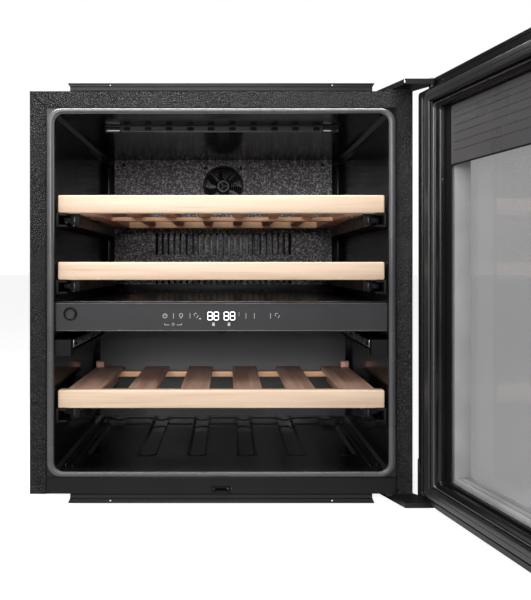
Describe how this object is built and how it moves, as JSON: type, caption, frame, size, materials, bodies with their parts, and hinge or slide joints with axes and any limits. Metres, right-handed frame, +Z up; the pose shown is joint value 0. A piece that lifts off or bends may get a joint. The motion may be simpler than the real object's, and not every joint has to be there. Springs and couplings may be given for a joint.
{
  "type": "wine cooler",
  "caption": "Built-in two-zone wine cooler with a right-hinged glass door, wooden pull-out shelves, a divider with controls and cooling machinery at the back.",
  "frame": {"origin": "centre of the flat underside of the cabinet, above its adjustable feet", "axes": "+X to the right seen from the front, +Y from the front to the back, +Z up"},
  "size_m": [0.6967, 1.132, 0.5978],
  "materials": {
    "textured_black_paint": "pebbled semi-matt black",
    "smooth_black_sill": "smooth satin black",
    "gloss_black_liner": "polished black",
    "satin_black_frame": "satin black",
    "satin_grey_fascia": "satin dark grey",
    "hammered_grey_cover": "hammered dark grey",
    "matte_black_plastic": "matt black",
    "grey_plastic": "satin grey",
    "black_painted_steel": "satin black paint on folded steel",
    "bright_steel": "bright rolled steel",
    "zinc_coated_sheet": "zinc coated",
    "compressor_black": "semi-gloss black",
    "painted_fins": "dark painted fins",
    "aluminium_fins": "bare fins",
    "beech": "clear satin varnish",
    "beech_shaded": "clear satin varnish",
    "foam": "rigid foam",
    "black_rubber": "soft black",
    "smoked_glass": "smoked, polished",
    "clear_glass": "clear, polished"
  },
  "bodies": {
    "cabinet": {"outer_wrapper": "textured_black_paint", "front_sill": "smooth_black_sill", "inner_liner": "gloss_black_liner", "insulation": "foam", "rear_panel": "zinc_coated_sheet", "base_pan": "zinc_coated_sheet", "foot_front_left": "matte_black_plastic", "foot_front_right": "matte_black_plastic", "foot_rear_left": "matte_black_plastic", "foot_rear_right": "matte_black_plastic", "top_mounting_strip": "black_painted_steel", "bottom_mounting_strip": "black_painted_steel", "top_hinge_plate": "black_painted_steel", "bottom_hinge_plate": "black_painted_steel", "latch_housing": "matte_black_plastic", "divider": "gloss_black_liner", "control_fascia": "satin_grey_fascia", "evaporator_cover": "hammered_grey_cover", "evaporator_fan_frame": "matte_black_plastic", "evaporator": "aluminium_fins", "light_bar": "satin_grey_fascia", "compressor": "compressor_black", "condenser": "painted_fins", "condenser_fan_frame": "matte_black_plastic", "cord_gland": "matte_black_plastic", "spare_runner_left": "matte_black_plastic", "spare_runner_right": "matte_black_plastic", "shelf_1_left_runner": "matte_black_plastic", "shelf_1_right_runner": "matte_black_plastic", "shelf_2_left_runner": "matte_black_plastic", "shelf_2_right_runner": "matte_black_plastic", "shelf_3_left_runner": "matte_black_plastic", "shelf_3_right_runner": "matte_black_plastic"},
    "door": {"door_outer_frame": "satin_black_frame", "door_inner_frame": "satin_black_frame", "door_outer_glass": "smoked_glass", "door_inner_glass": "clear_glass", "door_gasket": "black_rubber"},
    "evaporator_fan": {"evaporator_fan_rotor": "grey_plastic"},
    "condenser_fan": {"condenser_fan_rotor": "grey_plastic"},
    "latch_tongue": {"latch_plunger": "matte_black_plastic"},
    "button": {"panel_button": "satin_grey_fascia"},
    "shelf_1": {"shelf_1_front_rail": "beech", "shelf_1_frame": "beech_shaded", "shelf_1_left_slide": "bright_steel", "shelf_1_right_slide": "bright_steel"},
    "shelf_1_cages": {"shelf_1_left_cage": "bright_steel", "shelf_1_right_cage": "bright_steel"},
    "shelf_2": {"shelf_2_front_rail": "beech", "shelf_2_frame": "beech_shaded", "shelf_2_left_slide": "bright_steel", "shelf_2_right_slide": "bright_steel"},
    "shelf_2_cages": {"shelf_2_left_cage": "bright_steel", "shelf_2_right_cage": "bright_steel"},
    "shelf_3": {"shelf_3_front_rail": "beech", "shelf_3_frame": "beech_shaded", "shelf_3_left_slide": "bright_steel", "shelf_3_right_slide": "bright_steel"},
    "shelf_3_cages": {"shelf_3_left_cage": "bright_steel", "shelf_3_right_cage": "bright_steel"}
  },
  "joints": [
    {"name": "door_hinge", "type": "hinge", "parent": "cabinet", "child": "door", "pos_m": [0.2889, -0.2868, 0], "axis": [0, 0, 1], "range_deg": [-101.2, 9]},
    {"name": "shelf_1_slide", "type": "slide", "parent": "cabinet", "child": "shelf_1", "axis": [0, -1, 0], "range_m": [0, 0.25]},
    {"name": "shelf_1_cage_roll", "type": "slide", "parent": "cabinet", "child": "shelf_1_cages", "axis": [0, -1, 0], "range_m": [0, 0.125]},
    {"name": "shelf_2_slide", "type": "slide", "parent": "cabinet", "child": "shelf_2", "axis": [0, -1, 0], "range_m": [0, 0.25]},
    {"name": "shelf_2_cage_roll", "type": "slide", "parent": "cabinet", "child": "shelf_2_cages", "axis": [0, -1, 0], "range_m": [0, 0.125]},
    {"name": "shelf_3_slide", "type": "slide", "parent": "cabinet", "child": "shelf_3", "axis": [0, -1, 0], "range_m": [0, 0.16]},
    {"name": "shelf_3_cage_roll", "type": "slide", "parent": "cabinet", "child": "shelf_3_cages", "axis": [0, -1, 0], "range_m": [0, 0.08]},
    {"name": "evaporator_fan_spin", "type": "hinge", "parent": "cabinet", "child": "evaporator_fan", "pos_m": [0, 0.2176, 0.4814], "axis": [0, 1, 0], "continuous": true},
    {"name": "condenser_fan_spin", "type": "hinge", "parent": "cabinet", "child": "condenser_fan", "pos_m": [0.021, 0.1925, 0.075], "axis": [1, 0, 0], "continuous": true},
    {"name": "latch_push", "type": "slide", "parent": "cabinet", "child": "latch_tongue", "axis": [0, 1, 0], "range_m": [0, 0.006], "stiffness_N_per_m": 300},
    {"name": "button_push", "type": "slide", "parent": "cabinet", "child": "button", "axis": [0, 1, 0], "range_m": [0, 0.0015], "stiffness_N_per_m": 400}
  ],
  "couplings": [
    {"joint": "shelf_1_cage_roll", "follows": "shelf_1_slide", "ratio": 0.5},
    {"joint": "shelf_2_cage_roll", "follows": "shelf_2_slide", "ratio": 0.5},
    {"joint": "shelf_3_cage_roll", "follows": "shelf_3_slide", "ratio": 0.5}
  ]
}
